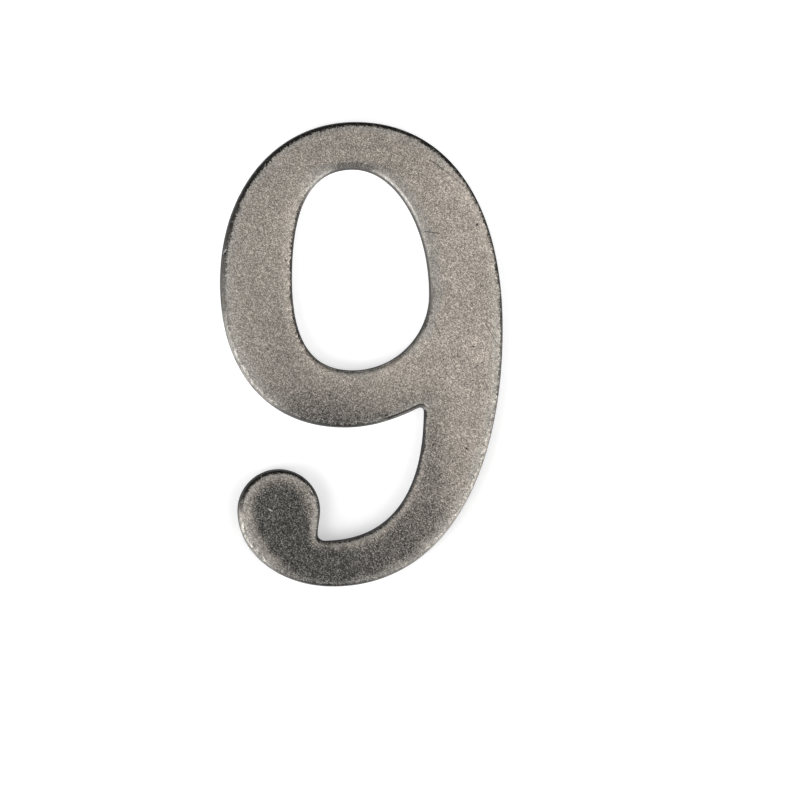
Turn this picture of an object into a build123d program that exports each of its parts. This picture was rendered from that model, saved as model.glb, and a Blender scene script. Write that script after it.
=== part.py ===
from build123d import *
import math
import os

# A cast metal house number, the figure nine, held to a steel door by three disc magnets.
# Sizes are in millimetres and angles in degrees. X runs to the reader's right and Z up.
# The back lies on the plane Y = 0, the face looks along -Y and the origin is mid-figure.

# Overall size of the casting
HEIGHT = 69.6
WIDTH = 42.4
THICKNESS = 3.0
DRAFT_ANGLE = 5.0

# The edge of the face rolls over as a quarter ellipse, drawn in a few ruled steps
ROLL_WIDTH = 1.1
ROLL_DEPTH = 0.5
ROLL_STEPS = 6

# Width of each stroke at its crown, where the outline is level or upright
TOP_STROKE = 7.2
LEFT_STROKE = 10.8
RIGHT_STROKE = 11.1
BOWL_STROKE = 8.6
TAIL_STROKE = 6.9

# Crowns of the outline, as shares of the width from the left or of the height from the foot
TOP_CROWN_SHARE = 0.479
FOOT_CROWN_SHARE = 0.40
LEFT_CROWN_SHARE = 0.654
RIGHT_CROWN_SHARE = 0.556
BOWL_CROWN_SHARE = 0.441

# The counter, which is the hole through the bowl: its share of the whole height, and its
# crowns as shares of its own width and height
COUNTER_HEIGHT_SHARE = 0.431
COUNTER_TOP_SHARE = 0.445
COUNTER_FOOT_SHARE = 0.441
COUNTER_LEFT_SHARE = 0.457
COUNTER_RIGHT_SHARE = 0.378

# How far a quarter turn swells towards its corner: 0.55 draws an ellipse, more is squarer
SHOULDER_FULLNESS = 0.585
CROWN_FULLNESS = 0.62
STEM_FULLNESS = 0.615
BOWL_FULLNESS = 0.617
HEEL_FULLNESS = 0.56
TAIL_FULLNESS = 0.65
UNDERSIDE_FULLNESS = 0.36
COUNTER_LEFT_FULLNESS = 0.68
COUNTER_RIGHT_FULLNESS = 0.55

# The ball that ends the tail, and the notch between the two
BALL_DIAMETER = 12.4
BALL_INSET = 2.6
BALL_LIFT = 4.5
NECK_ANGLE = 7.0
NOTCH_RADIUS = 1.0

# The crotch where the bowl leaves the stem
CROTCH_INSET = 0.8
CROTCH_DROP = 6.1
CROTCH_ANGLE = 26.0
CROTCH_RADIUS = 0.5

# Disc magnets, and the pockets in the back that hold them
MAGNET_DIAMETER = 6.0
MAGNET_THICKNESS = 1.5
MAGNET_BEVEL = 0.15
MAGNET_RECESS = 0.1
POCKET_CLEARANCE = 0.1
POCKET_LEAD = 0.2

# Edges and centres that follow from the sizes above
left = -WIDTH / 2
right = WIDTH / 2
foot = -HEIGHT / 2
top = HEIGHT / 2
counter_left = left + LEFT_STROKE
counter_right = right - RIGHT_STROKE
counter_top = top - TOP_STROKE
counter_foot = counter_top - COUNTER_HEIGHT_SHARE * HEIGHT
bowl_foot = counter_foot - BOWL_STROKE
tail_top = foot + TAIL_STROKE
ball_x = left + BALL_INSET + BALL_DIAMETER / 2
ball_z = tail_top + BALL_LIFT
wall_depth = THICKNESS - ROLL_DEPTH
wall_inset = wall_depth * math.tan(math.radians(DRAFT_ANGLE))
pocket_radius = MAGNET_DIAMETER / 2 + POCKET_CLEARANCE
pocket_depth = MAGNET_THICKNESS + MAGNET_RECESS


def between(low, high, share):
    """Point at a share of the way from low to high."""
    return low + share * (high - low)


def quarter(start, end, fullness, level_first):
    """Quarter turn that is level at one end and upright at the other."""
    run = Vector(end.X - start.X, 0)
    rise = Vector(0, end.Y - start.Y)
    leaving = run if level_first else rise
    arriving = rise if level_first else run
    return Bezier(start, start + leaving * fullness, end - arriving * fullness, end)


def figure_outline(inset):
    """Outline of the whole figure, drawn in by the inset all round."""
    crown_point = Vector(between(left, right, TOP_CROWN_SHARE), top - inset)
    right_point = Vector(right - inset, between(foot, top, RIGHT_CROWN_SHARE))
    foot_point = Vector(between(left, right, FOOT_CROWN_SHARE), foot + inset)
    ball_point = Vector(ball_x - BALL_DIAMETER / 2 + inset, ball_z)
    crotch_point = Vector(counter_right - CROTCH_INSET + inset, counter_foot - CROTCH_DROP)
    bowl_point = Vector(between(left, right, BOWL_CROWN_SHARE), bowl_foot + inset)
    left_point = Vector(left + inset, between(foot, top, LEFT_CROWN_SHARE))
    notch_radius = NOTCH_RADIUS + inset
    lean = math.radians(NECK_ANGLE)
    with BuildLine() as outline:
        quarter(crown_point, right_point, CROWN_FULLNESS, True)
        quarter(right_point, foot_point, STEM_FULLNESS, False)
        quarter(foot_point, ball_point, HEEL_FULLNESS, True)
        ball = JernArc(ball_point, (0, 1), BALL_DIAMETER / 2 - inset, -180 - NECK_ANGLE)
        neck_drop = (ball @ 1).Y - tail_top + inset - notch_radius * (1 + math.sin(lean))
        neck = Line(ball @ 1, ball @ 1 + ball % 1 * (neck_drop / math.cos(lean)))
        notch = JernArc(neck @ 1, neck % 1, notch_radius, 90 + NECK_ANGLE)
        quarter(notch @ 1, crotch_point, TAIL_FULLNESS, True)
        crotch = JernArc(crotch_point, (0, 1), CROTCH_RADIUS + inset, 90 + CROTCH_ANGLE)
        reach = UNDERSIDE_FULLNESS * ((crotch @ 1).X - bowl_point.X)
        under_start = crotch @ 1 + crotch % 1 * reach
        under_end = bowl_point + Vector(reach, 0)
        Bezier(crotch @ 1, under_start, under_end, bowl_point)
        quarter(bowl_point, left_point, BOWL_FULLNESS, True)
        quarter(left_point, crown_point, SHOULDER_FULLNESS, False)
    return outline.edges()


def counter_outline(inset):
    """Outline of the hole through the bowl, widened by the inset all round."""
    top_x = between(counter_left, counter_right, COUNTER_TOP_SHARE)
    foot_x = between(counter_left, counter_right, COUNTER_FOOT_SHARE)
    left_z = between(counter_foot, counter_top, COUNTER_LEFT_SHARE)
    right_z = between(counter_foot, counter_top, COUNTER_RIGHT_SHARE)
    top_point = Vector(top_x, counter_top + inset)
    right_point = Vector(counter_right + inset, right_z)
    foot_point = Vector(foot_x, counter_foot - inset)
    left_point = Vector(counter_left - inset, left_z)
    with BuildLine() as outline:
        quarter(top_point, right_point, COUNTER_RIGHT_FULLNESS, True)
        quarter(right_point, foot_point, COUNTER_RIGHT_FULLNESS, False)
        quarter(foot_point, left_point, COUNTER_LEFT_FULLNESS, True)
        quarter(left_point, top_point, COUNTER_LEFT_FULLNESS, False)
    return outline.edges()


# Sections of the casting from back to face, as depth from the back and inset of the outline
sections = [(0, 0)]
for step in range(ROLL_STEPS + 1):
    turn = math.radians(90 * step / ROLL_STEPS)
    roll_depth = wall_depth + ROLL_DEPTH * math.sin(turn)
    roll_inset = wall_inset + ROLL_WIDTH * (1 - math.cos(turn))
    sections.append((roll_depth, roll_inset))

# Each magnet sits in the middle of a broad part of the figure
magnet_places = {
    "bowl_magnet": (left + LEFT_STROKE / 2, between(foot, top, LEFT_CROWN_SHARE)),
    "stem_magnet": (right - RIGHT_STROKE / 2, between(foot, top, RIGHT_CROWN_SHARE)),
    "ball_magnet": (ball_x, ball_z),
}

# The casting: drafted sides with a rolled edge, the counter cut through, blind pockets
with BuildPart() as numeral:
    for depth, inset in sections:
        with BuildSketch(Plane.XZ.offset(depth)):
            make_face(figure_outline(inset))
    loft(ruled=True)
    for depth, inset in sections:
        with BuildSketch(Plane.XZ.offset(depth)):
            make_face(counter_outline(inset))
    loft(ruled=True, mode=Mode.SUBTRACT)
    with Locations(*[Plane((x, 0, z), z_dir=(0, 1, 0)) for x, z in magnet_places.values()]):
        Hole(pocket_radius, pocket_depth)
    pocket_mouths = numeral.edges(Select.LAST).group_by(Axis.Y)[-1]
    chamfer(pocket_mouths, POCKET_LEAD)

os.makedirs("parts", exist_ok=True)
numeral.part.label = "numeral"
export_step(numeral.part, "parts/numeral.step")

# Three disc magnets, each seated on the floor of its pocket and just below the back
on_its_back = (Align.CENTER, Align.CENTER, Align.MIN)
for name, place in magnet_places.items():
    with BuildPart(Plane.XZ.offset(MAGNET_RECESS)) as magnet:
        with Locations(place):
            Cylinder(MAGNET_DIAMETER / 2, MAGNET_THICKNESS, align=on_its_back)
        chamfer(magnet.edges().filter_by(GeomType.CIRCLE), MAGNET_BEVEL)
    magnet.part.label = name
    export_step(magnet.part, f"parts/{name}.step")
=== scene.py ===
import math

import bpy
import numpy as np
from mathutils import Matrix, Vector, noise
from mathutils.geometry import delaunay_2d_cdt


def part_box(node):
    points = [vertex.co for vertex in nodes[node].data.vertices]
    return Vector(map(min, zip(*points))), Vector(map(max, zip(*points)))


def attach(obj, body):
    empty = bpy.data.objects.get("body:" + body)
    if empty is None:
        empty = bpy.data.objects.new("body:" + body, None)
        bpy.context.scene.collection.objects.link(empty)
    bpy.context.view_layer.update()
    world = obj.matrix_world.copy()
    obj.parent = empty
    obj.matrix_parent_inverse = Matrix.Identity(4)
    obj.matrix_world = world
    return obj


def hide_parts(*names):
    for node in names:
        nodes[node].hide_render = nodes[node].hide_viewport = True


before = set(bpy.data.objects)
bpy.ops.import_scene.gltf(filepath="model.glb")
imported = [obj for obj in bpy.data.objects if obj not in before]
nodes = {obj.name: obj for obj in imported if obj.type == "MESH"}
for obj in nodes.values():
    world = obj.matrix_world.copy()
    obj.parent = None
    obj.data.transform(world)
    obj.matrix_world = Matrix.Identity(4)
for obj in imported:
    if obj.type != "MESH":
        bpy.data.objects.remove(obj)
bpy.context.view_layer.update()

MM = 0.001
MAGNETS = ["bowl_magnet", "stem_magnet", "ball_magnet"]

# What is read from the CAD mesh: digits of a millimetre that are kept, and how flat the back is
WELD_DIGITS = 3
BACK_FLAT = 0.002

# Section of the casting, in mm and degrees, from the back to the face
THICKNESS = round(-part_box("numeral")[0].y / MM, WELD_DIGITS)
DRAFT_ANGLE = 5.0
ROLL_WIDTH = 1.1
ROLL_DEPTH = 0.5
ROLL_POWER = 3.2
ROLL_RINGS = 16
WALL_RINGS = 4
BACK_BREAK = 0.08

# Pockets in the back, in mm, and the distance from the edge that their points are given
POCKET_LEAD = 0.2
POCKET_SEGMENTS = 96
POCKET_EDGE = 3.0

# Magnets, in mm
MAGNET_BEVEL = 0.15
MAGNET_RINGS = 7
MAGNET_SEGMENTS = 96

# Smooth outlines: points for each CAD edge, points over which a bend is averaged, longest step in
# mm and largest turn in radians
CURVE_POINTS = 24
BEND_POINTS = 61
OUTLINE_STEP = 0.2
OUTLINE_TURN = 0.12

# Points on the face: step in mm, rows against columns, and gap to the rolled edge in mm
FACE_STEP = 0.26
ROW_SHARE = 0.866
LIP_GAP = 0.14

# The face dips a little here and there: depth in mm, waves for each mm, slice of the noise, and the
# distance from the edge, in mm, where the dips begin and over which they grow
SWAY_DEPTH = 0.035
SWAY_SCALE = 0.11
SWAY_SLICE = 3.7
SWAY_START = 0.6
SWAY_GROWTH = 2.0

# Small dents and pits: x, z, half length, half width, angle in degrees, depth, all lengths in mm
DENTS = [
    (4.20, -9.62, 0.46, 0.26, 15.0, 0.28),
    (3.55, -9.15, 0.36, 0.17, 25.0, 0.12),
    (2.70, -9.10, 0.40, 0.13, 5.0, 0.06),
    (17.15, 19.35, 0.30, 0.16, 45.0, 0.05),
    (15.60, -14.10, 0.28, 0.16, -35.0, 0.05),
    (-7.60, -20.75, 0.70, 0.11, -52.0, 0.08),
    (-7.25, -20.40, 0.60, 0.10, -50.0, 0.08),
    (-20.45, 15.00, 0.46, 0.12, -30.0, 0.10),
    (-10.60, 13.45, 0.32, 0.17, -30.0, 0.12),
    (-11.38, 13.90, 0.20, 0.12, -20.0, 0.05),
    (16.60, 1.12, 0.22, 0.11, -25.0, 0.04),
    (12.15, -0.78, 0.18, 0.12, -30.0, 0.04),
]

# A dent falls off like a bell and ends at a distance given in its half sizes. Rings of mesh points
# lie round it, as distance and number, and the other points keep clear of them
DENT_FALL = 1.6
DENT_END = 2.2
DENT_RINGS = [(0.0, 1), (0.35, 8), (0.7, 12), (1.05, 16), (1.5, 18)]
DENT_CLEAR = 1.6

# Hairline scratches on the face: start x and z, end x and z, half width, all in mm, strength, grey
SCRATCHES = [
    (10.12, 28.96, 12.10, 27.60, 0.15, 0.85, 0.03),
    (12.60, 27.30, 15.21, 25.06, 0.12, 0.65, 0.03),
    (9.40, 18.32, 11.50, 18.02, 0.14, 0.75, 0.03),
    (18.50, 4.50, 20.10, 1.60, 0.12, 0.65, 0.03),
    (18.40, 5.15, 20.00, 3.60, 0.10, 0.40, 0.03),
    (16.60, -2.20, 18.30, -0.97, 0.13, 0.70, 0.03),
    (10.80, 4.87, 11.72, 2.56, 0.12, 0.60, 0.03),
    (11.40, 5.60, 11.80, 5.15, 0.14, 0.60, 0.03),
    (14.16, 0.00, 14.70, -0.70, 0.12, 0.55, 0.03),
    (-15.60, 9.30, -13.40, 7.10, 0.10, 0.40, 0.03),
    (-18.55, 13.20, -18.25, 13.40, 0.15, 0.70, 0.03),
    (-20.80, 14.90, -20.30, 15.60, 0.11, 0.90, 0.55),
    (-21.00, 15.80, -20.70, 15.50, 0.10, 0.80, 0.55),
    (-13.95, -23.15, -13.45, -23.40, 0.16, 0.80, 0.45),
    (11.10, 30.90, 12.45, 29.90, 0.11, 0.70, 0.30),
    (5.40, 33.55, 6.30, 33.30, 0.10, 0.50, 0.30),
    (6.60, 33.15, 7.20, 32.95, 0.10, 0.50, 0.30),
]

# Dark patina left on the face: x, z, reach and strength along the lower curve
DARK_PATH = [
    (-12.4, -23.5, 4.7, 1.00),
    (-11.4, -26.8, 4.6, 1.00),
    (-9.2, -30.2, 3.8, 1.00),
    (-4.0, -31.8, 3.4, 0.97),
    (1.0, -31.4, 3.2, 0.88),
    (5.6, -28.9, 3.6, 0.82),
    (9.2, -25.0, 3.8, 0.67),
    (10.9, -20.6, 3.8, 0.42),
    (11.2, -15.0, 3.8, 0.22),
    (11.8, -9.0, 3.8, 0.06),
]

# How far the patina spreads past its reach, and over what width it fades, in mm
PATINA_SPREAD = 1.9
PATINA_FADE = 3.2

# Softer dark clouds, partly patina and partly painted shade on edges that face straight down, away
# from the lamps: x, z, half sizes and strength
DARK_CLOUDS_AND_SHADE = [
    (-4.6, -8.4, 8.6, 3.8, 0.58),
    (-10.0, -7.6, 4.5, 3.2, 0.19),
    # Painted shade on the bowl's lower edge, which faces straight down
    (-5.4, -10.1, 8.4, 1.9, 0.74),
    (2.5, -9.2, 1.4, 0.8, 0.50),
    (7.2, -7.0, 3.4, 1.6, 0.30),
    # Painted shade on the top of the counter, an edge that faces straight down
    (0.3, 28.0, 5.0, 0.75, 0.34),
    (0.0, 32.0, 10.0, 4.0, 0.20),
    (-12.0, -0.5, 5.5, 8.0, 0.21),
    (7.5, -1.5, 2.5, 3.0, 0.12),
    (16.5, -19.0, 3.0, 3.0, 0.12),
    (-12.6, 5.0, 2.6, 7.0, 0.14),
    (10.0, -15.5, 2.0, 9.0, 0.52),
    # These four paint shade along the bottom of the tail, on edges that face straight down
    (-5.0, -33.6, 7.0, 1.9, 0.90),
    (-11.2, -32.6, 3.4, 1.6, 0.55),
    (3.2, -32.4, 4.5, 1.5, 0.40),
    (7.6, -29.8, 2.4, 1.6, 0.45),
]

# Finish along the outer edge, partly real and partly painted light: the black is strongest on edges
# that face up or straight down, away from the lamps, which is painted shade, and the black is
# weakest and the bare metal and polish strongest on edges that face the lamps low on the left and
# right,
# which is painted highlight. Columns: outward direction in degrees, strength and width in mm of the
# black, bare metal, width of the rubbed rim, its polish and how much lighter it is
EDGE_FINISH_AND_PAINTED_LIGHT = [
    (0.0, 0.80, 0.55, 0.00, 1.00, 0.30, 0.12),
    (15.0, 0.96, 0.54, 0.00, 0.95, 0.35, 0.22),
    (30.0, 0.98, 0.56, 0.00, 0.90, 0.40, 0.20),
    (45.0, 0.99, 0.66, 0.00, 0.85, 0.40, 0.12),
    (60.0, 1.00, 0.68, 0.00, 0.80, 0.40, 0.05),
    (90.0, 1.00, 0.76, 0.00, 0.75, 0.25, 0.00),
    (120.0, 1.00, 0.78, 0.00, 0.80, 0.20, 0.06),
    (135.0, 1.00, 0.79, 0.00, 0.85, 0.15, 0.08),
    (150.0, 0.98, 0.80, 0.00, 0.90, 0.15, 0.10),
    (165.0, 0.86, 0.86, 0.00, 1.00, 0.10, 0.12),
    (180.0, 0.58, 0.86, 0.02, 1.10, 0.05, 0.12),
    (194.0, 0.08, 0.80, 0.14, 1.15, 0.50, 0.16),
    (212.0, 0.03, 0.50, 0.12, 1.15, 0.65, 0.12),
    (232.0, 0.05, 0.44, 0.02, 1.05, 0.40, 0.04),
    (245.0, 0.38, 0.50, 0.00, 0.85, 0.00, 0.00),
    (258.0, 0.66, 0.52, 0.00, 0.75, 0.00, 0.00),
    (270.0, 0.84, 0.48, 0.00, 0.60, 0.00, 0.00),
    (285.0, 0.50, 0.44, 0.00, 0.70, 0.00, 0.00),
    (305.0, 0.12, 0.40, 0.00, 0.85, 0.10, 0.00),
    (325.0, 0.04, 0.40, 0.02, 0.85, 0.40, 0.00),
    (340.0, 0.08, 0.40, 0.02, 0.90, 0.50, 0.04),
    (348.0, 0.40, 0.42, 0.00, 0.95, 0.45, 0.08),
    (355.0, 0.68, 0.48, 0.00, 1.00, 0.40, 0.10),
    (360.0, 0.80, 0.55, 0.00, 1.00, 0.30, 0.12),
]

# The same along the counter, where the black is a thin line, with the same painted shade and
# painted highlight by direction
COUNTER_FINISH_AND_PAINTED_LIGHT = [
    (0.0, 0.97, 0.42, 0.00, 0.90, 0.50, 0.24),
    (15.0, 1.00, 0.42, 0.00, 0.88, 0.70, 0.28),
    (30.0, 1.00, 0.37, 0.00, 0.85, 0.70, 0.26),
    (60.0, 1.00, 0.29, 0.00, 0.80, 0.40, 0.24),
    (90.0, 1.00, 0.27, 0.00, 0.75, 0.20, 0.12),
    (120.0, 0.95, 0.22, 0.00, 0.80, 0.10, 0.22),
    (150.0, 0.85, 0.34, 0.00, 0.90, 0.00, 0.06),
    (180.0, 0.30, 0.70, 0.00, 1.00, 0.00, -0.08),
    (197.0, 0.14, 0.60, 0.08, 1.05, 0.05, -0.10),
    (210.0, 0.05, 0.50, 0.40, 1.10, 0.10, -0.08),
    (236.0, 0.00, 0.40, 0.55, 1.00, 0.00, 0.00),
    (244.0, 0.14, 0.70, 0.30, 0.90, 0.00, 0.00),
    (252.0, 0.42, 0.95, 0.05, 0.80, 0.00, -0.05),
    (262.0, 0.46, 0.98, 0.00, 0.70, 0.00, -0.05),
    (284.0, 0.46, 0.98, 0.00, 0.70, 0.00, -0.05),
    (293.0, 0.18, 0.65, 0.25, 0.80, 0.00, 0.00),
    (303.0, 0.04, 0.40, 0.60, 1.00, 0.10, 0.00),
    (318.0, 0.10, 0.40, 0.45, 1.00, 0.30, 0.08),
    (330.0, 0.66, 0.44, 0.10, 1.00, 0.60, 0.18),
    (345.0, 0.88, 0.46, 0.00, 0.95, 0.55, 0.22),
    (360.0, 0.97, 0.42, 0.00, 0.90, 0.50, 0.24),
]
FINISH_AND_LIGHT_LAYERS = ["black", "black_width", "bare_and_highlight", "rubbed", "polish_and_highlight", "lift", "crotch_shade"]

# The ball's left, up to this x and z, is rubbed further round between two directions, by a turn in
# degrees, and is polished more from a direction on, which is painted highlight where it faces the
# lamp low on the left
BALL_X = -9.0
BALL_Z = -15.0
BALL_ARC = (140.0, 235.0)
BALL_TURN = 8.0
BALL_HIGHLIGHT_FROM = 200.0
BALL_POLISH_AND_HIGHLIGHT = 1.3

# The ball and its neck, left of the hook, have less black. The neck leans right by at least this
# much and is rubbed less, and gets no polish or lighter rim, so no painted highlight
BALL_BLACK_WIDTH = 0.86
NECK_LEAN = 0.2
NECK_RUBBED = 0.7

# Inside the hook the black line is narrow: lowest and highest x and z, least lean upwards, the
# black and the rubbed rim there, how much lighter the rim gets as it leans left, and the most. The
# black there, on edges that face up, is partly painted shade, and the lighter rim as it leans left,
# towards the lamp low on the left, is painted highlight
HOOK_X = (-6.2, 10.8)
HOOK_Z = (-28.5, -8.0)
HOOK_LEAN = -0.3
HOOK_BLACK = 0.95
HOOK_BLACK_WIDTH = 0.34
HOOK_RUBBED = 0.6
HOOK_LIFT = 0.2
HOOK_MOST_LIFT = 0.16

# A painted shade line, the rolled edge drawn dark as if in shade, runs along the bowl and round the
# crotch: middle x and z, half length and width and slope in degrees of an oval, and where the line
# ends and over what it fades, in half sizes
CROTCH = (6.2, -8.7, 3.4, 0.9, 19.0)
CROTCH_END = 1.3
CROTCH_FADE = 0.4


# Outlines

def back_loops(mesh):
    """The closed outlines of the flat back, longest first, in mm, with the metal on the left."""
    places = {}
    welded = []
    points = []
    for vertex in mesh.vertices:
        spot = tuple(round(value / MM, WELD_DIGITS) for value in vertex.co)
        if spot not in places:
            places[spot] = len(points)
            points.append(spot)
        welded.append(places[spot])
    seen = set()
    for face in mesh.polygons:
        corners = [welded[index] for index in face.vertices]
        if all(abs(points[corner][1]) < BACK_FLAT for corner in corners):
            for start, end in zip(corners, corners[1:] + corners[:1]):
                seen.add((start, end))
    after = {}
    for start, end in seen:
        if (end, start) not in seen:
            after[end] = start
    loops = []
    while after:
        start = next(iter(after))
        loop = [start]
        step = after.pop(start)
        while step != start:
            loop.append(step)
            step = after.pop(step)
        loops.append(np.array([(points[index][0], points[index][2]) for index in loop]))
    return sorted(loops, key=perimeter, reverse=True)


def perimeter(loop):
    return np.linalg.norm(np.roll(loop, -1, 0) - loop, axis=1).sum()


def smooth_loop(points):
    """Points and inward normals along a smooth closed curve, closer where it bends sharply."""
    ahead = np.roll(points, -1, 0) - points
    span = np.linalg.norm(ahead, axis=1, keepdims=True)
    behind = np.roll(ahead, 1, 0)
    behind_span = np.roll(span, 1, 0)
    tangent = (behind / behind_span * span + ahead / span * behind_span) / (span + behind_span)
    share = np.linspace(0.0, 1.0, CURVE_POINTS, endpoint=False).reshape(1, -1, 1)
    start = points[:, None, :]
    end = np.roll(points, -1, 0)[:, None, :]
    leave = (tangent * span)[:, None, :]
    arrive = (np.roll(tangent, -1, 0) * span)[:, None, :]
    fine = (
        (2 * share**3 - 3 * share**2 + 1) * start
        + (share**3 - 2 * share**2 + share) * leave
        + (3 * share**2 - 2 * share**3) * end
        + (share**3 - share**2) * arrive
    ).reshape(-1, 2)

    # Space the points by how sharply the curve bends
    step = np.roll(fine, -1, 0) - fine
    length = np.linalg.norm(step, axis=1)
    heading = np.unwrap(np.arctan2(step[:, 1], step[:, 0]))
    bend = np.abs(np.diff(heading, append=heading[-1:])) / np.maximum(length, 1e-9)
    half = BEND_POINTS // 2
    window = np.ones(BEND_POINTS) / BEND_POINTS
    bend = np.convolve(np.concatenate([bend[-half:], bend, bend[:half]]), window, "valid")
    density = np.maximum(1.0 / OUTLINE_STEP, bend / OUTLINE_TURN)
    travelled = np.concatenate([[0.0], np.cumsum(density * length)])
    count = int(round(travelled[-1]))
    wanted = np.linspace(0.0, travelled[-1], count, endpoint=False)
    closed = np.vstack([fine, fine[:1]])
    along = np.column_stack([np.interp(wanted, travelled, closed[:, axis]) for axis in (0, 1)])
    run = np.roll(along, -1, 0) - np.roll(along, 1, 0)
    run /= np.linalg.norm(run, axis=1, keepdims=True)
    normal = np.column_stack([-run[:, 1], run[:, 0]])
    return along, normal


def section_rings():
    """Depth and inset of each ring of the edge, from the back corner to the face."""
    wall_depth = THICKNESS - ROLL_DEPTH
    lean = math.tan(math.radians(DRAFT_ANGLE))
    rings = [
        (0.0, BACK_BREAK),
        (0.25 * BACK_BREAK, 0.25 * BACK_BREAK),
        (BACK_BREAK, BACK_BREAK * lean),
    ]
    for step in range(1, WALL_RINGS + 1):
        depth = BACK_BREAK + (wall_depth - BACK_BREAK) * step / WALL_RINGS
        rings.append((depth, depth * lean))
    for step in range(1, ROLL_RINGS + 1):
        turn = 0.5 * math.pi * step / ROLL_RINGS
        rise = math.sin(turn) ** (2.0 / ROLL_POWER)
        reach = 1.0 - max(0.0, math.cos(turn)) ** (2.0 / ROLL_POWER)
        rings.append((wall_depth + ROLL_DEPTH * rise, wall_depth * lean + ROLL_WIDTH * reach))
    return rings


# Points in the plane of the face

def nearest(points, targets):
    """Distance from each point to the nearest of the targets, and which target that is."""
    best = np.full(len(points), np.inf)
    which = np.zeros(len(points), int)
    block_size = 200
    for begin in range(0, len(targets), block_size):
        block = targets[begin:begin + block_size]
        gap = ((points[:, None, :] - block[None, :, :]) ** 2).sum(2)
        close = gap.argmin(1)
        value = gap[np.arange(len(points)), close]
        better = value < best
        best[better] = value[better]
        which[better] = close[better] + begin
    return np.sqrt(best), which


def inside(points, loop):
    """Whether each point lies inside a closed loop."""
    result = np.zeros(len(points), bool)
    for (ax, az), (bx, bz) in zip(loop, np.roll(loop, -1, 0)):
        crosses = (az > points[:, 1]) != (bz > points[:, 1])
        if crosses.any():
            at = ax + (points[:, 1] - az) * (bx - ax) / (bz - az)
            result ^= crosses & (points[:, 0] < at)
    return result


def oval(points, x, z, half_length, half_width, angle):
    """Distance of each point from the middle of a turned oval, in units of its half sizes."""
    cos, sin = math.cos(math.radians(angle)), math.sin(math.radians(angle))
    dx, dz = points[:, 0] - x, points[:, 1] - z
    return np.hypot((dx * cos + dz * sin) / half_length, (dz * cos - dx * sin) / half_width)


def circle(count):
    """Points evenly round a circle of radius 1."""
    turn = np.arange(count) * 2 * math.pi / count
    return np.column_stack([np.cos(turn), np.sin(turn)])


def fill(loops, extra):
    """Triangles of the region bounded by loops, as points and index triples."""
    points = []
    edges = []
    for loop in loops:
        base = len(points)
        points.extend(Vector(p) for p in loop)
        edges.extend((base + i, base + (i + 1) % len(loop)) for i in range(len(loop)))
    points.extend(Vector(p) for p in extra)
    flat, _, faces, _, _, _ = delaunay_2d_cdt(points, edges, [], 0, 1e-6)
    flat = np.array([(p.x, p.y) for p in flat])
    faces = np.array([face[:3] for face in faces])
    middle = flat[faces].mean(1)
    keep = inside(middle, np.array(loops[0]))
    for loop in loops[1:]:
        keep &= ~inside(middle, np.array(loop))
    faces = faces[keep]
    a, b, c = flat[faces[:, 0]], flat[faces[:, 1]], flat[faces[:, 2]]
    across, up = b - a, c - a
    turned = across[:, 0] * up[:, 1] - across[:, 1] * up[:, 0] < 0
    faces[turned] = faces[turned][:, ::-1]
    return flat, faces


# Finish, wear and painted light

def tarnish(plan):
    """How much dark patina each point keeps, from 0 to 1."""
    amount = np.zeros(len(plan))
    for (ax, az, ar, av), (bx, bz, br, bv) in zip(DARK_PATH, DARK_PATH[1:]):
        run = np.array([bx - ax, bz - az])
        share = np.clip(((plan - (ax, az)) @ run) / (run @ run), 0.0, 1.0)
        gap = np.linalg.norm(plan - (np.array([ax, az]) + share[:, None] * run), axis=1)
        reach = ar + share * (br - ar)
        fade = np.clip((reach + PATINA_SPREAD - gap) / PATINA_FADE, 0.0, 1.0)
        amount = np.maximum(amount, (av + share * (bv - av)) * fade)
    return amount


def clouds_and_shade(plan):
    """Soft dark clouds that also cross the rim, from 0 to 1: partly patina and partly painted shade
    on edges that face straight down.
    """
    amount = np.zeros(len(plan))
    for x, z, half_x, half_z, strength in DARK_CLOUDS_AND_SHADE:
        far = ((plan[:, 0] - x) / half_x) ** 2 + ((plan[:, 1] - z) / half_z) ** 2
        amount = 1.0 - (1.0 - amount) * (1.0 - strength * np.exp(-far))
    return amount


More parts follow.
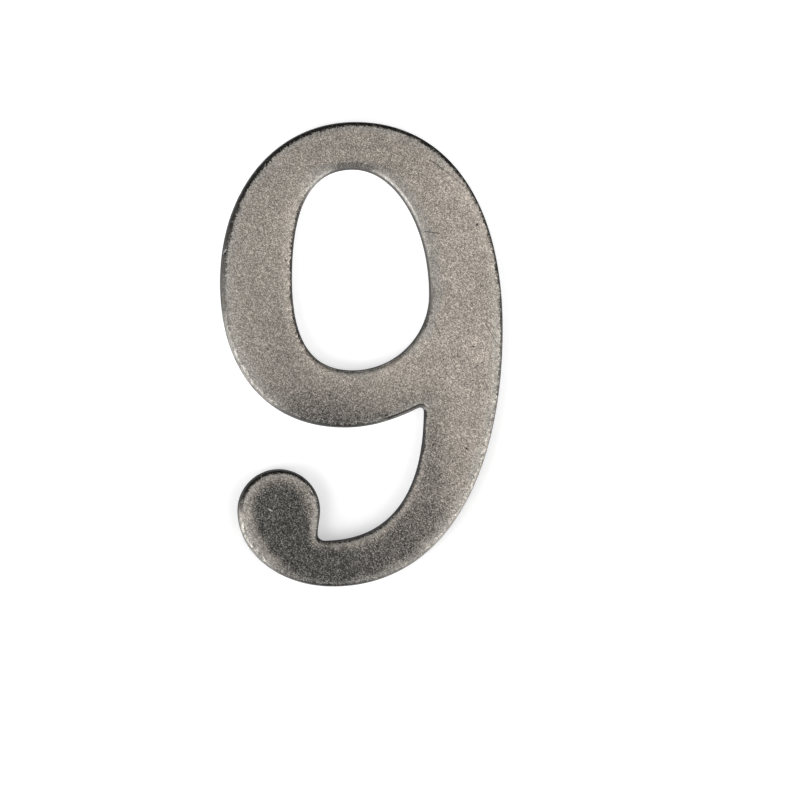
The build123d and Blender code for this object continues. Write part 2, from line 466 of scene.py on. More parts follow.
def edge_finish_and_painted_light(points, outward, table):
    """The finish and painted light at each point of an outline, by layer, from a table by
    direction: painted shade in the black, painted highlight in the bare metal and polish.
    """
    x, z = points[:, 0], points[:, 1]
    angle = np.degrees(np.arctan2(outward[:, 1], outward[:, 0])) % 360.0
    low, high = BALL_ARC
    ball = (x < BALL_X) & (z < BALL_Z) & (angle > low) & (angle < high)
    bulge = np.sin(math.pi * (angle - low) / (high - low))
    angle = angle + np.where(ball, BALL_TURN * bulge, 0.0)
    directions, *columns = (np.array(column) for column in zip(*table))
    layers = {}
    for name, column in zip(FINISH_AND_LIGHT_LAYERS, columns):
        layers[name] = np.interp(angle, directions, column)

    def scale(name, where, factor):
        layers[name] = layers[name] * np.where(where, factor, 1.0)

    def change(name, where, value):
        layers[name] = np.where(where, value, layers[name])

    scale("polish_and_highlight", ball & (angle > BALL_HIGHLIGHT_FROM), BALL_POLISH_AND_HIGHLIGHT)
    left = (x < HOOK_X[0]) & (z < BALL_Z)
    scale("black_width", left, BALL_BLACK_WIDTH)
    neck = left & (outward[:, 0] > NECK_LEAN)
    change("polish_and_highlight", neck, 0.0)
    change("lift", neck, 0.0)
    change("rubbed", neck, np.minimum(layers["rubbed"], NECK_RUBBED))

    hook = (x > HOOK_X[0]) & (x < HOOK_X[1]) & (z > HOOK_Z[0]) & (z < HOOK_Z[1])
    hook &= outward[:, 1] > HOOK_LEAN
    change("black", hook, np.maximum(layers["black"], HOOK_BLACK))
    change("black_width", hook, np.minimum(layers["black_width"], HOOK_BLACK_WIDTH))
    change("rubbed", hook, np.minimum(layers["rubbed"], HOOK_RUBBED))
    change("polish_and_highlight", hook, 0.0)
    change("lift", hook, np.clip(-HOOK_LIFT * outward[:, 0], 0.0, HOOK_MOST_LIFT))

    # Painted shade line round the crotch, with the bare metal taken away under it
    layers["crotch_shade"] = np.clip((CROTCH_END - oval(points, *CROTCH)) / CROTCH_FADE, 0.0, 1.0)
    layers["bare_and_highlight"] = layers["bare_and_highlight"] * (1.0 - layers["crotch_shade"])
    return layers


def wear_face(places, edge):
    """Lowers the face where it dips and where the dents are; returns the dents, from 0 to 1."""
    plan = places[:, [0, 2]]
    front = places[:, 1] < -0.5 * THICKNESS
    spots = [Vector((x * SWAY_SCALE, SWAY_SLICE, z * SWAY_SCALE)) for x, z in plan]
    sway = np.clip(0.5 + np.array([noise.noise(spot) for spot in spots]), 0.0, 1.0)
    dip = SWAY_DEPTH * sway * np.clip((edge - SWAY_START) / SWAY_GROWTH, 0.0, 1.0)
    places[front, 1] += dip[front]
    pit = np.zeros(len(places))
    for *shape, depth in DENTS:
        near = oval(plan, *shape)
        bell = np.exp(-DENT_FALL * near**2) * (near < DENT_END)
        places[front, 1] += (depth * bell)[front]
        pit = np.maximum(pit, np.where(front, bell, 0.0))
    return pit


# Meshes

def add_object(name, points, faces, smooth):
    """A mesh object in the scene, from points in metres and faces that are smooth or not."""
    mesh = bpy.data.meshes.new(name)
    mesh.from_pydata([tuple(point) for point in points], [], faces)
    mesh.polygons.foreach_set("use_smooth", smooth)
    mesh.update()
    made = bpy.data.objects.new(name, mesh)
    bpy.context.scene.collection.objects.link(made)
    return made


class Casting:
    """The casting's points and faces, with each point's distance from the edge and its finish and
    painted light.
    """

    def __init__(self):
        self.places = []
        self.faces = []
        self.edge = []
        self.finish_and_light = {name: [] for name in FINISH_AND_LIGHT_LAYERS}

    def put(self, points, depth, inset, finish=None):
        """Adds points at one depth and returns the index of the first."""
        first = len(self.places)
        self.places.extend((x, -depth, z) for x, z in points)
        self.edge.extend(np.broadcast_to(inset, len(points)))
        for name, layer in self.finish_and_light.items():
            layer.extend(finish[name] if finish else [0.0] * len(points))
        return first

    def band(self, low, high, count):
        """Adds faces between two rings of points."""
        for i in range(count):
            j = (i + 1) % count
            self.faces.append((low + i, low + j, high + j, high + i))

    def patch(self, triangles, index, step=1):
        """Adds triangles whose corners are looked up in index, turned over where step is -1."""
        for triangle in triangles:
            self.faces.append(tuple(int(index[corner]) for corner in triangle[::step]))


def add_face(casting, outlines, finishes_and_light, lips):
    """Adds the face inside the rolled edges: an even field of points, closer round the dents."""
    outline_points = np.vstack([points for points, _ in outlines])
    low, high = outlines[0][0].min(0), outlines[0][0].max(0)
    columns = np.arange(low[0], high[0], FACE_STEP)
    rows = enumerate(np.arange(low[1], high[1], FACE_STEP * ROW_SHARE))
    field = np.array([(x + (k % 2) * 0.5 * FACE_STEP, z) for k, z in rows for x in columns])
    for x, z, half_length, half_width, angle, _ in DENTS:
        field = field[oval(field, x, z, half_length, half_width, angle) > DENT_CLEAR]
        cos, sin = math.cos(math.radians(angle)), math.sin(math.radians(angle))
        for ring, count in DENT_RINGS:
            u, v = (circle(count) * (ring * half_length, ring * half_width)).T
            close = np.column_stack([x + u * cos - v * sin, z + u * sin + v * cos])
            field = np.vstack([field, close])
    rim, _ = nearest(field, outline_points)
    metal = inside(field, lips[0][0]) & ~inside(field, lips[1][0])
    lip_inset = section_rings()[-1][1]
    field = field[metal & (rim > lip_inset + LIP_GAP)]

    flat, triangles = fill([points for points, _ in lips], field)
    lip_index = np.concatenate([np.arange(len(points)) + first for points, first in lips])
    new_points = flat[len(lip_index):]
    inset, which = nearest(new_points, outline_points)
    # Each point of the face takes the finish and painted light of the nearest outline point
    finish = {}
    for name in FINISH_AND_LIGHT_LAYERS:
        finish[name] = np.concatenate([each[name] for each in finishes_and_light])[which]
    first = casting.put(new_points, THICKNESS, inset, finish)
    casting.patch(triangles, np.concatenate([lip_index, np.arange(len(new_points)) + first]))


def add_back(casting, backs, pocket_loops):
    """Adds the flat back and the pockets for the magnets."""
    ring = circle(POCKET_SEGMENTS)
    pockets = []
    for loop in pocket_loops:
        middle = 0.5 * (loop.min(0) + loop.max(0))
        radius = np.linalg.norm(loop - middle, axis=1).max()
        pockets.append((middle, radius, middle + ring * radius))
    floor = min(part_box(name)[0].y for name in MAGNETS) / -MM
    index = [np.arange(len(points)) + first for points, first in backs]
    for middle, radius, rim in pockets:
        narrow = middle + ring * (radius - POCKET_LEAD)
        top = casting.put(rim, 0.0, POCKET_EDGE)
        lead = casting.put(narrow, POCKET_LEAD, POCKET_EDGE)
        foot = casting.put(narrow, floor, POCKET_EDGE)
        hub = casting.put([middle], floor, POCKET_EDGE)
        index.append(np.arange(POCKET_SEGMENTS) + top)
        casting.band(lead, top, POCKET_SEGMENTS)
        casting.band(foot, lead, POCKET_SEGMENTS)
        for i in range(POCKET_SEGMENTS):
            casting.faces.append((foot + (i + 1) % POCKET_SEGMENTS, foot + i, hub))
    loops = [points for points, _ in backs] + [rim for _, _, rim in pockets]
    _, triangles = fill(loops, [])
    casting.patch(triangles, np.concatenate(index), step=-1)


def build_numeral(cad):
    """The casting as one dense mesh of the CAD node's form, with its wear, finish and painted
    light.
    """
    loops = back_loops(cad.data)
    outlines = [smooth_loop(loop) for loop in loops[:2]]
    rings = section_rings()
    casting = Casting()
    finishes_and_light = []
    lips = []
    backs = []
    for (points, normal), table in zip(outlines, (EDGE_FINISH_AND_PAINTED_LIGHT, COUNTER_FINISH_AND_PAINTED_LIGHT)):
        finish = edge_finish_and_painted_light(points, -normal, table)
        sections = [points + normal * inset for _, inset in rings]
        firsts = []
        for section, (depth, inset) in zip(sections, rings):
            firsts.append(casting.put(section, depth, inset, finish))
        for low, high in zip(firsts, firsts[1:]):
            casting.band(low, high, len(points))
        finishes_and_light.append(finish)
        lips.append((sections[-1], firsts[-1]))
        backs.append((sections[0], firsts[0]))
    add_face(casting, outlines, finishes_and_light, lips)
    smooth_count = len(casting.faces)
    add_back(casting, backs, loops[2:])

    # The smooth curves stay within the CAD node's own box
    low, high = (np.array(corner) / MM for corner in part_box("numeral"))
    places = np.clip(np.array(casting.places), low, high)
    edge = np.array(casting.edge)
    pit = wear_face(places, edge)
    smooth = np.arange(len(casting.faces)) < smooth_count
    made = add_object("numeral_casting", places * MM, casting.faces, smooth)
    plan = places[:, [0, 2]]
    layers = dict(casting.finish_and_light, edge=edge, pit=pit, tarnish=tarnish(plan), cloud=clouds_and_shade(plan))
    for name, values in layers.items():
        layer = made.data.attributes.new(name, "FLOAT", "POINT")
        layer.data.foreach_set("value", np.asarray(values, np.float32))
    return made


def build_magnet(node):
    """A disc of the CAD node's size with rounded edges, turned about its own axis."""
    low, high = (np.array(corner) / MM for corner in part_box(node))
    middle = 0.5 * (low + high)
    radius = 0.5 * (high[0] - low[0])
    profile = []
    for turn in np.linspace(0.0, 0.5 * math.pi, MAGNET_RINGS):
        reach = radius - MAGNET_BEVEL * (1.0 - math.sin(turn))
        profile.append((reach, low[1] + MAGNET_BEVEL * (1.0 - math.cos(turn))))
    profile += [(reach, low[1] + high[1] - y) for reach, y in reversed(profile)]
    ring = circle(MAGNET_SEGMENTS)
    places = []
    for reach, y in profile:
        places.extend((middle[0] + reach * x, y, middle[2] + reach * z) for x, z in ring)
    first, last = len(places), len(places) + 1
    places += [(middle[0], low[1], middle[2]), (middle[0], high[1], middle[2])]
    faces = []
    end = (len(profile) - 1) * MAGNET_SEGMENTS
    for here in range(0, end, MAGNET_SEGMENTS):
        there = here + MAGNET_SEGMENTS
        for i in range(MAGNET_SEGMENTS):
            j = (i + 1) % MAGNET_SEGMENTS
            faces.append((here + i, there + i, there + j, here + j))
    for i in range(MAGNET_SEGMENTS):
        j = (i + 1) % MAGNET_SEGMENTS
        faces.append((first, i, j))
        faces.append((last, end + j, end + i))
    return add_object(node + "_disc", np.array(places) * MM, faces, np.ones(len(faces), bool))


# Materials

class Shader:
    """One node tree, with sockets joined as they are passed in."""

    def __init__(self, owner, output_kind="ShaderNodeOutputMaterial"):
        owner.use_nodes = True
        self.owner = owner
        self.tree = owner.node_tree
        self.tree.nodes.clear()
        self.output = self.tree.nodes.new(output_kind)

    def node(self, kind, inputs=None, **settings):
        made = self.tree.nodes.new(kind)
        for key, value in settings.items():
            setattr(made, key, value)
        for key, value in (inputs or {}).items():
            self.put(made.inputs[key], value)
        return made

    def put(self, socket, value):
        if isinstance(value, bpy.types.NodeSocket):
            self.tree.links.new(value, socket)
        else:
            socket.default_value = value

    def finish(self, surface):
        self.tree.links.new(surface.outputs[0], self.output.inputs["Surface"])
        return self.owner

    def math(self, operation, first, second=0.0, third=0.0, clamp=False):
        values = {0: first, 1: second, 2: third}
        made = self.node("ShaderNodeMath", values, operation=operation, use_clamp=clamp)
        return made.outputs[0]

    def plus(self, first, second):
        return self.math("ADD", first, second)

    def minus(self, first, second, clamp=False):
        return self.math("SUBTRACT", first, second, clamp=clamp)

    def times(self, first, second, clamp=False):
        return self.math("MULTIPLY", first, second, clamp=clamp)

    def vector(self, operation, inputs, output="Vector"):
        return self.node("ShaderNodeVectorMath", inputs, operation=operation).outputs[output]

    def between(self, value, low, high, to_low=0.0, to_high=1.0, smooth=False):
        """The value carried from one range to another and held at its ends."""
        ends = {"From Min": low, "From Max": high, "To Min": to_low, "To Max": to_high}
        kind = "SMOOTHSTEP" if smooth else "LINEAR"
        made = self.node("ShaderNodeMapRange", {"Value": value, **ends}, interpolation_type=kind)
        return made.outputs["Result"]

    def sway(self, value, span, amount):
        """A texture as a value that swings from -amount to amount."""
        return self.between(value, *span, -amount, amount)

    def mix(self, share, first, second, blend="MIX"):
        made = self.node("ShaderNodeMix", data_type="RGBA", blend_type=blend)
        self.put(made.inputs["Factor"], share)
        self.put(made.inputs[6], first)
        self.put(made.inputs[7], second)
        return made.outputs[2]

    def scale_colour(self, colour, factor):
        grey = self.node("ShaderNodeCombineColor", {0: factor, 1: factor, 2: factor}).outputs[0]
        return self.mix(1.0, colour, grey, "MULTIPLY")

    def raise_colour(self, colour, power):
        """The colour times e to a power."""
        return self.scale_colour(colour, self.math("POWER", math.e, power))

    def noise(self, place, scale, detail, roughness):
        inputs = {"Vector": place, "Scale": scale, "Detail": detail, "Roughness": roughness}
        return self.node("ShaderNodeTexNoise", inputs).outputs["Fac"]

    def cells(self, place, scale):
        made = self.node("ShaderNodeTexVoronoi", {"Vector": place, "Scale": scale})
        return self.node("ShaderNodeSeparateColor", {0: made.outputs["Color"]}).outputs[0]

    def stretch(self, place, amount):
        """The place turned so that a texture on it runs longer down to the right."""
        inputs = {"Vector": place, "Angle": math.radians(BRUSH_ANGLE)}
        turned = self.node("ShaderNodeVectorRotate", inputs, rotation_type="Y_AXIS").outputs[0]
        return self.vector("MULTIPLY", {0: turned, 1: (amount, 1.0, 1.0)})

    def line(self, place, start, end, half_width):
        """1 on a straight line from start to end, falling to 0 at half_width from it."""
        run = tuple(b - a for a, b in zip(start, end))
        square = sum(value * value for value in run)
        offset = self.vector("SUBTRACT", {0: place, 1: start})
        dot = self.vector("DOT_PRODUCT", {0: offset, 1: run}, "Value")
        share = self.math("DIVIDE", dot, square, clamp=True)
        foot = self.vector("SCALE", {0: run, "Scale": share})
        gap = self.vector("DISTANCE", {0: offset, 1: foot}, "Value")
        return self.between(gap, half_width, 0.0)

    def attribute(self, name):
        return self.node("ShaderNodeAttribute", attribute_name=name).outputs["Fac"]

    def place_mm(self):
        spot = self.node("ShaderNodeTexCoord").outputs["Object"]
        return self.vector("SCALE", {0: spot, "Scale": 1.0 / MM})


# Textures: scale for each mm, detail and roughness, or the scale of the cells
GRAIN = (4.2, 2.0, 0.6)
CLOUD = (0.16, 3.0, 0.55)
BROAD = (0.55, 2.0, 0.5)
SPOTS = (2.1, 3.0, 0.7)
GROUND = (4.5, 3.0, 0.65)
HAZE = (0.8, 4.0, 0.6)
HANDLING = (9.0, 2.0, 0.5)
COARSE_CELLS = 5.6
FINE_CELLS = 9.5

# Parts of a texture's range that are used
WHOLE = (0.0, 1.0)
MOST = (0.25, 0.75)
INNER = (0.3, 0.7)
MIDDLE = (0.35, 0.65)

# Direction of the brushing in degrees, and factors on the place along it, so that a texture runs
# longer that way on the face and much longer on the back
BRUSH_ANGLE = -45.0
BRUSHED = 0.84
GROUND_LINES = 0.05

# Grey of the face at the left and right ends, in mm, and how much the noises vary it
FACE_ENDS = (-21.0, 21.0)
FACE_LEFT = (0.252, 0.226, 0.200, 1)
FACE_RIGHT = (0.322, 0.286, 0.250, 1)
CLOUD_TONE = (0.90, 1.10)
BROAD_TONE = 0.06

# The rubbed rim: how ragged it is in mm, least width, and where it begins and is full, in widths;
# its tint where it is hardly or clearly lighter than the face, and the gain of the polish, which
# comes from the edge tables and is partly painted highlight
RIM_RAGGED = 0.4
RIM_LEAST = 0.3
RIM_SPAN = (2.7, 0.7)
TINT_LIFTS = (0.12, 0.24)
COOL_TINT = (0.95, 1.0, 1.03, 1)
WARM_TINT = (1.0, 1.0, 0.99, 1)
POLISH_AND_HIGHLIGHT_GAIN = (1.0, 1.22)

# Patina and speckle: swing of each texture, depth on the face and on the rim and what the patina
# adds, and the lowering that makes up for the swing's brighter side
PATINA = (0.0545, 0.0520, 0.0482, 1)
GRAIN_SWING = 1.6
COARSE_SWING = 1.8
FINE_SWING = 6.2
SPECKLE_DEPTH = (0.114, 0.085)
PATINA_DEPTH = 0.125
SPECKLE_LEVEL = -2.0

# Rubbed crest of the edge, which goes with the polish and so is partly painted highlight: its
# distances from the outline in mm, and the spots that darken or brighten it, as powers of e
CREST_SPAN = (1.1, 0.7)
CHAFE_SPOTS = (0.40, 0.64)
CHAFE_POWERS = (-1.1, 0.9)
FLECK_SPOTS = (0.57, 0.64)

# Black along the edges, partly the antique black finish and partly painted shade on edges that face
# up or straight down, away from the lamps: wobble of its border in mm by texture, width of the
# fade, what is left of it under flecks and in the painted shade line of the crotch, and its speckle
GRAIN_WOBBLE = 0.10
BROAD_WOBBLE = 0.10
FINE_WOBBLE = 0.12
BLACK_FADE = (-0.17, 0.13)
BLACK_IN_FLECKS = 0.70
BLACK_IN_CROTCH_SHADE = 0.15
EDGE_BLACK_AND_SHADE = (0.011, 0.0105, 0.0099, 1)
EDGE_BLACK_AND_SHADE_DEPTH = 0.18

# Bare metal, partly worn and partly painted highlight on edges that face the lamps: its distances
# from the outline in mm, and its share between and in flecks
BARE_AND_HIGHLIGHT_SPAN = (0.50, 0.30)
BARE_AND_HIGHLIGHT_IN_FLECKS = (0.45, 3.0)
BARE_METAL_AND_HIGHLIGHT = (0.72, 0.705, 0.685, 1)

# The painted shade line of the crotch: its distance from the outline and its half widths, in mm;
# the pits' darkness
CROTCH_SHADE_INSET = 0.46
CROTCH_SHADE_SPAN = (0.20, 0.06)
CROTCH_SHADE_BLACK = (0.025, 0.024, 0.023, 1)
PIT_GAIN = 1.5
PIT_BLACK = (0.015, 0.015, 0.015, 1)

# Scratches lie only on the front: from and to these places on Y, in mm
SCRATCH_SPAN = (-2.1, -2.4)

# Sides: reach of the wear by the sum of two noises, the skin's start and end below the roll in mm,
# as factor of the reach and offset, and the skin's share, colours and speckle. The wear goes with
# the polish, so the sides are lighter where the edges get painted highlight, and the skin is
# blacker under black edges, partly painted shade
WEAR_NOISE = (0.75, 1.25)
WEAR_REACH = (0.2, 6.5)
SKIN_START = (0.4, -0.10)
SKIN_END = (1.2, 0.14)
SKIN_SHARE = 0.92
SKIN_DARK = (0.062, 0.059, 0.055, 1)
SKIN_LIGHT = (0.100, 0.095, 0.088, 1)
SKIN_BLACK_AND_SHADE = (0.016, 0.0155, 0.0148, 1)
SKIN_BLACK_SPAN = (0.0, 0.75, 0.0, 0.90)
SKIN_DEPTH = 0.14

# Back: where it begins on Y, in mm, its colours, and how much the grinding and the cells vary them
BACK_SPAN = (-0.03, -0.01)
BACK_DARK = (0.160, 0.153, 0.144, 1)
BACK_LIGHT = (0.255, 0.243, 0.230, 1)
GROUND_TONE = (0.84, 1.16)
CELL_TONE = (0.92, 1.08)

# Gloss and relief of the metal
METALLIC = 0.80
ROUGHNESS = (0.44, 0.56)
DULL_ROUGHNESS = 0.30
COARSE_RELIEF = 0.25
BUMP_STRENGTH = 0.4
BUMP_DISTANCE = 0.00004

# Nickel of the magnets
NICKEL_DARK = (0.62, 0.60, 0.56, 1)
NICKEL_LIGHT = (0.72, 0.70, 0.66, 1)
NICKEL_ROUGHNESS = (0.16, 0.30)
HANDLING_ROUGHNESS = 0.03


class Pewter(Shader):
    """Antique pewter: dark patina rubbed back to grey metal, lighter along the rim, with painted
    shade and painted highlights along the edges by direction.
    """

    def __init__(self):
        super().__init__(bpy.data.materials.new("antique_pewter"))
        self.place = self.place_mm()
        split = self.node("ShaderNodeSeparateXYZ", {"Vector": self.place})
        self.x, self.y, self.z = split.outputs
        self.edge = self.attribute("edge")
        self.polish_and_highlight = self.attribute("polish_and_highlight")
        brushed = self.stretch(self.place, BRUSHED)
        self.grain = self.noise(brushed, *GRAIN)
        self.coarse = self.cells(brushed, COARSE_CELLS)
        self.fine = self.cells(brushed, FINE_CELLS)
        self.cloud = self.noise(self.place, *CLOUD)
        self.broad = self.noise(self.place, *BROAD)
        self.spots = self.noise(self.place, *SPOTS)
        swing = self.plus(
            self.sway(self.grain, WHOLE, GRAIN_SWING), self.sway(self.coarse, WHOLE, COARSE_SWING)
        )
        self.swing = self.plus(swing, self.sway(self.fine, WHOLE, FINE_SWING))

    def rim(self):
        """1 on the rubbed rim, falling to 0 on the face."""
        ragged = self.plus(self.edge, self.sway(self.broad, INNER, RIM_RAGGED))
        width = self.math("MAXIMUM", self.attribute("rubbed"), RIM_LEAST)
        return self.between(self.math("DIVIDE", ragged, width), *RIM_SPAN, smooth=True)

    def face(self, rim):
        """Grey of the face, lighter towards the right, and of its rim, cooler or lighter, the rim
        lighter with the polish, which is partly painted highlight.
        """
        grey = self.mix(self.between(self.x, *FACE_ENDS), FACE_LEFT, FACE_RIGHT)
        tone = self.between(self.cloud, *INNER, *CLOUD_TONE)
        tone = self.plus(tone, self.sway(self.broad, INNER, BROAD_TONE))
        grey = self.scale_colour(grey, tone)
        lift = self.attribute("lift")
        tint = self.mix(self.between(lift, *TINT_LIFTS), COOL_TINT, WARM_TINT)
        grey = self.mix(rim, grey, self.mix(1.0, grey, tint, "MULTIPLY"))
        grey = self.scale_colour(grey, self.math("MULTIPLY_ADD", lift, rim, 1.0))
        gain = self.between(self.times(self.polish_and_highlight, rim), *WHOLE, *POLISH_AND_HIGHLIGHT_GAIN)
        return self.scale_colour(grey, gain)

    def patina(self, rim):
        """Share of the patina, which is worn off along the rim but not in the clouds, which are
        partly painted shade.
        """
        kept = self.times(self.attribute("tarnish"), self.minus(1.0, rim))
        clear = self.times(self.minus(1.0, kept), self.minus(1.0, self.attribute("cloud")))
        return self.minus(1.0, clear, clamp=True)

    def speckle(self, colour, rim, patina):
        """Speckle, stronger in the patina and weaker along the rubbed rim."""
        more = self.times(self.times(patina, patina), PATINA_DEPTH)
        depth = self.plus(self.between(rim, *WHOLE, *SPECKLE_DEPTH), more)
        level = self.times(self.times(depth, depth), SPECKLE_LEVEL)
        return self.raise_colour(colour, self.math("MULTIPLY_ADD", self.swing, depth, level))

    def edges(self, colour):
        """The colour with chafed crests, bare and black edges, the painted shade line of the crotch
        and pits, and the black's share; the bare edges are partly painted highlight and the black
        partly painted shade.
        """
        crest = self.times(self.between(self.edge, *CREST_SPAN), self.polish_and_highlight)
        chafe = self.times(crest, self.between(self.spots, *CHAFE_SPOTS, *CHAFE_POWERS))
        colour = self.raise_colour(colour, chafe)

        wobble = self.plus(
            self.sway(self.grain, MOST, GRAIN_WOBBLE), self.sway(self.broad, INNER, BROAD_WOBBLE)
        )
        wobble = self.plus(wobble, self.sway(self.fine, WHOLE, FINE_WOBBLE))
        inset = self.plus(self.edge, wobble)
        fleck = self.between(self.spots, *FLECK_SPOTS)
        # Bare metal, partly worn and partly painted highlight where the lamps low on the left and
        # right glint on the roll
        bare_and_highlight = self.times(self.between(inset, *BARE_AND_HIGHLIGHT_SPAN), self.attribute("bare_and_highlight"))
        bare_and_highlight = self.times(bare_and_highlight, self.between(fleck, *WHOLE, *BARE_AND_HIGHLIGHT_IN_FLECKS), clamp=True)
        colour = self.mix(bare_and_highlight, colour, BARE_METAL_AND_HIGHLIGHT)

        crotch_shade = self.attribute("crotch_shade")
        # The black, partly antique black and partly painted shade on edges that face away from the
        # lamps
        over = self.minus(self.attribute("black_width"), inset)
        black = self.times(self.between(over, *BLACK_FADE, smooth=True), self.attribute("black"))
        black = self.times(black, self.between(fleck, *WHOLE, 1.0, BLACK_IN_FLECKS))
        black = self.times(black, self.between(crotch_shade, *WHOLE, 1.0, BLACK_IN_CROTCH_SHADE))
        black_and_shade_colour = self.raise_colour(EDGE_BLACK_AND_SHADE, self.times(self.swing, EDGE_BLACK_AND_SHADE_DEPTH))
        colour = self.mix(black, colour, black_and_shade_colour)

        # Painted shade line round the crotch, the rolled edge drawn dark
        away = self.math("ABSOLUTE", self.minus(self.edge, CROTCH_SHADE_INSET))
        line = self.times(self.between(away, *CROTCH_SHADE_SPAN), crotch_shade)
        colour = self.mix(line, colour, CROTCH_SHADE_BLACK)
        pit = self.times(self.attribute("pit"), PIT_GAIN, clamp=True)
        return self.mix(pit, colour, PIT_BLACK), black

    def scratched(self, colour):
        """The colour with the scratches on the face."""
        axes = {0: self.x, 1: -THICKNESS, 2: self.z}
        flat = self.node("ShaderNodeCombineXYZ", axes).outputs[0]
        front = self.between(self.y, *SCRATCH_SPAN)
        for ax, az, bx, bz, half_width, strength, grey in SCRATCHES:
            line = self.line(flat, (ax, -THICKNESS, az), (bx, -THICKNESS, bz), half_width)
            share = self.times(line, self.times(front, strength))
            colour = self.mix(share, colour, (grey, grey, grey, 1))
        return colour

    def side(self):
        """1 on the sides, from further down where the rim is polished, so that the sides are
        lighter under the painted highlight.
        """
        uneven = self.plus(self.broad, self.spots)
        wear = self.times(self.polish_and_highlight, self.between(uneven, *WEAR_NOISE, *WEAR_REACH))
        below = self.minus(self.y, ROLL_DEPTH - THICKNESS)
        start = self.math("MULTIPLY_ADD", wear, *SKIN_START)
        return self.between(below, start, self.math("MULTIPLY_ADD", wear, *SKIN_END))

    def skin(self, black):
        """Dark cast skin of the sides, blacker where the edge above is black, which is partly
        painted shade.
        """
        skin = self.mix(self.broad, SKIN_DARK, SKIN_LIGHT)
        skin = self.raise_colour(skin, self.times(self.swing, SKIN_DEPTH))
        return self.mix(self.between(black, *SKIN_BLACK_SPAN), skin, SKIN_BLACK_AND_SHADE)

    def ground_metal(self, ground):
        """Plain metal of the back, with the lines of the grinding."""
        plain = self.mix(self.between(self.cloud, *MIDDLE), BACK_DARK, BACK_LIGHT)
        plain = self.scale_colour(plain, self.between(ground, *INNER, *GROUND_TONE))
        return self.scale_colour(plain, self.between(self.coarse, *WHOLE, *CELL_TONE))

    def build(self):
        rim = self.rim()
        patina = self.patina(rim)
        colour = self.mix(patina, self.face(rim), PATINA)
        colour, black = self.edges(self.speckle(colour, rim, patina))
        side = self.side()
        skin_share = self.times(side, SKIN_SHARE)
        colour = self.mix(skin_share, self.scratched(colour), self.skin(black))
        back = self.between(self.y, *BACK_SPAN)
        ground = self.noise(self.stretch(self.place, GROUND_LINES), *GROUND)
        colour = self.mix(back, colour, self.ground_metal(ground))

        front = self.minus(1.0, back)
        dull = self.times(self.times(self.math("MAXIMUM", black, side), front), DULL_ROUGHNESS)
        rough = self.plus(self.between(self.grain, *MOST, *ROUGHNESS), dull)
        cast = self.plus(self.grain, self.times(self.coarse, COARSE_RELIEF))
        bump = self.node("ShaderNodeBump", {
            "Strength": BUMP_STRENGTH,
            "Distance": BUMP_DISTANCE,
            "Height": self.plus(self.times(cast, front), self.times(ground, back)),
        })
        return self.finish(self.node("ShaderNodeBsdfPrincipled", {
            "Base Color": colour,
            "Metallic": METALLIC,
            "Roughness": rough,
            "Normal": bump.outputs[0],
        }))


def nickel():
    """Bright plating of the magnets, with faint handling marks."""
    s = Shader(bpy.data.materials.new("nickel_plate"))
    place = s.place_mm()
    haze = s.noise(place, *HAZE)
    marks = s.sway(s.noise(place, *HANDLING), INNER, HANDLING_ROUGHNESS)
    return s.finish(s.node("ShaderNodeBsdfPrincipled", {
        "Base Color": s.mix(haze, NICKEL_DARK, NICKEL_LIGHT),
        "Metallic": 1.0,
        "Roughness": s.plus(s.between(haze, *INNER, *NICKEL_ROUGHNESS), marks),
    }))


# Pieces

numeral = build_numeral(nodes["numeral"])
numeral.data.materials.append(Pewter().build())
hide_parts("numeral")
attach(numeral, "root")

plate = nickel()
for name in MAGNETS:
    magnet = build_magnet(name)
    magnet.data.materials.append(plate)
    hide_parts(name)
    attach(magnet, "root")


# Stage

# Wall and floor, in metres
WALL_BEHIND = 0.00006
WALL_HALF = 0.7
WALL_TOP = 0.6
FLOOR_HALF = 3.0
FLOOR_LEVEL = -0.5

# Their own grey and their glow. The wall's glow is given by height in mm, so that the wall is white
# where no shadow falls
WALL_GREY = 0.71
WALL_GLOW = [(-26.0, 0.365), (-2.0, 0.55), (36.0, 0.66)]
FLOOR_GREY = 0.95
FLOOR_GLOW = 0.85

# Sky: grey by height, from straight down at 0 to straight up at 1
SKY_STOPS = [(0.60, 1.0), (0.72, 0.04)]


def sheet(name, corners, material):
    made = add_object(name, corners, [tuple(range(len(corners)))], [False])
    made.data.materials.append(material)
    return made


def glow_by_height(s, stops):
    """A glow that changes with the height between three stops."""
    height = s.node("ShaderNodeSeparateXYZ", {"Vector": s.place_mm()}).outputs["Z"]
    (low, dim), (middle, half), (high, full) = stops
    lower = s.between(height, low, middle, dim, half)
    return s.plus(lower, s.between(height, middle, high, 0.0, full - half))


def pale_paper(s, grey, glow):
    """Pale paper, with a glow of its own for the camera and for reflections."""
    rays = s.node("ShaderNodeLightPath").outputs
    seen = s.math("MAXIMUM", rays["Is Camera Ray"], rays["Is Glossy Ray"])
    seen = s.math("MAXIMUM", seen, rays["Is Transmission Ray"])
    strength = s.times(glow, seen)
    light = s.node("ShaderNodeEmission", {"Color": (1, 1, 1, 1), "Strength": strength})
    matt = s.node("ShaderNodeBsdfDiffuse", {"Color": (grey, grey, grey, 1)})
    return s.node("ShaderNodeAddShader", {0: matt.outputs[0], 1: light.outputs[0]})


def wall_material():
    """Paper that is seen from its front only."""
    s = Shader(bpy.data.materials.new("pale_wall"))
    paper = pale_paper(s, WALL_GREY, glow_by_height(s, WALL_GLOW))
    clear = s.node("ShaderNodeBsdfTransparent")
    behind = s.node("ShaderNodeNewGeometry").outputs["Backfacing"]
    sides = {0: behind, 1: paper.outputs[0], 2: clear.outputs[0]}
    return s.finish(s.node("ShaderNodeMixShader", sides))


def floor_material():
    s = Shader(bpy.data.materials.new("pale_floor"))
    return s.finish(pale_paper(s, FLOOR_GREY, FLOOR_GLOW))


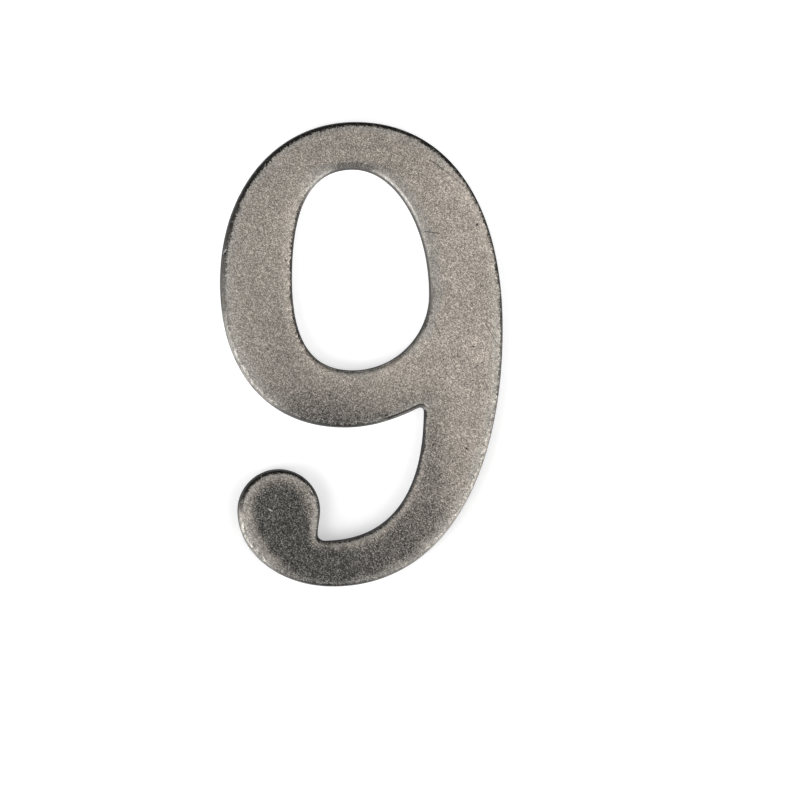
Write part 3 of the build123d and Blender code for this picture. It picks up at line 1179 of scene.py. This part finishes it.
def softbox(name, place, size, power):
    """A lamp that looks at the middle of the object."""
    lamp = bpy.data.lights.new(name, "AREA")
    lamp.shape = "RECTANGLE"
    lamp.size, lamp.size_y = size
    lamp.energy = power
    made = bpy.data.objects.new(name, lamp)
    made.location = place
    made.rotation_euler = (-Vector(place)).to_track_quat("-Z", "Y").to_euler()
    bpy.context.scene.collection.objects.link(made)


wall = sheet(
    "wall",
    [
        (-WALL_HALF, WALL_BEHIND, FLOOR_LEVEL),
        (WALL_HALF, WALL_BEHIND, FLOOR_LEVEL),
        (WALL_HALF, WALL_BEHIND, WALL_TOP),
        (-WALL_HALF, WALL_BEHIND, WALL_TOP),
    ],
    wall_material(),
)
wall.visible_shadow = False
wall.visible_diffuse = False
sheet(
    "floor",
    [
        (-FLOOR_HALF, -FLOOR_HALF, FLOOR_LEVEL),
        (FLOOR_HALF, -FLOOR_HALF, FLOOR_LEVEL),
        (FLOOR_HALF, FLOOR_HALF, FLOOR_LEVEL),
        (-FLOOR_HALF, FLOOR_HALF, FLOOR_LEVEL),
    ],
    floor_material(),
)
softbox("light_left", (-0.50, -0.46, -0.36), size=(0.60, 0.54), power=5.3)
softbox("light_right", (0.54, -0.46, -0.34), size=(0.90, 0.80), power=4.8)

world = bpy.data.worlds.new("studio")
bpy.context.scene.world = world
sky = Shader(world, "ShaderNodeOutputWorld")
direction = sky.node("ShaderNodeTexCoord").outputs["Generated"]
upward = sky.node("ShaderNodeSeparateXYZ", {"Vector": direction}).outputs["Z"]
ramp = sky.node("ShaderNodeValToRGB", {0: sky.between(upward, -1.0, 1.0)})
for stop, (position, grey) in zip(ramp.color_ramp.elements, SKY_STOPS):
    stop.position = position
    stop.color = (grey, grey, grey, 1)
sky.finish(sky.node("ShaderNodeBackground", {"Color": ramp.outputs[0]}))

# Camera: square on, from slightly to the left, with distances in metres and the turn in degrees
AIM = Vector((5.77, 0.0, -6.86)) * MM
DISTANCE = 0.75
TURN_LEFT = 2.5
FRAME_WIDTH = 0.1199
SENSOR_WIDTH = 36.0
camera_data = bpy.data.cameras.new("camera")
camera_data.sensor_width = SENSOR_WIDTH
camera_data.lens = SENSOR_WIDTH * DISTANCE / FRAME_WIDTH
camera = bpy.data.objects.new("camera", camera_data)
turn = math.radians(TURN_LEFT)
camera.location = AIM + Vector((-math.sin(turn), -math.cos(turn), 0.0)) * DISTANCE
camera.rotation_euler = (AIM - camera.location).to_track_quat("-Z", "Y").to_euler()
bpy.context.scene.collection.objects.link(camera)
bpy.context.scene.camera = camera
bpy.context.scene.view_settings.view_transform = "Standard"
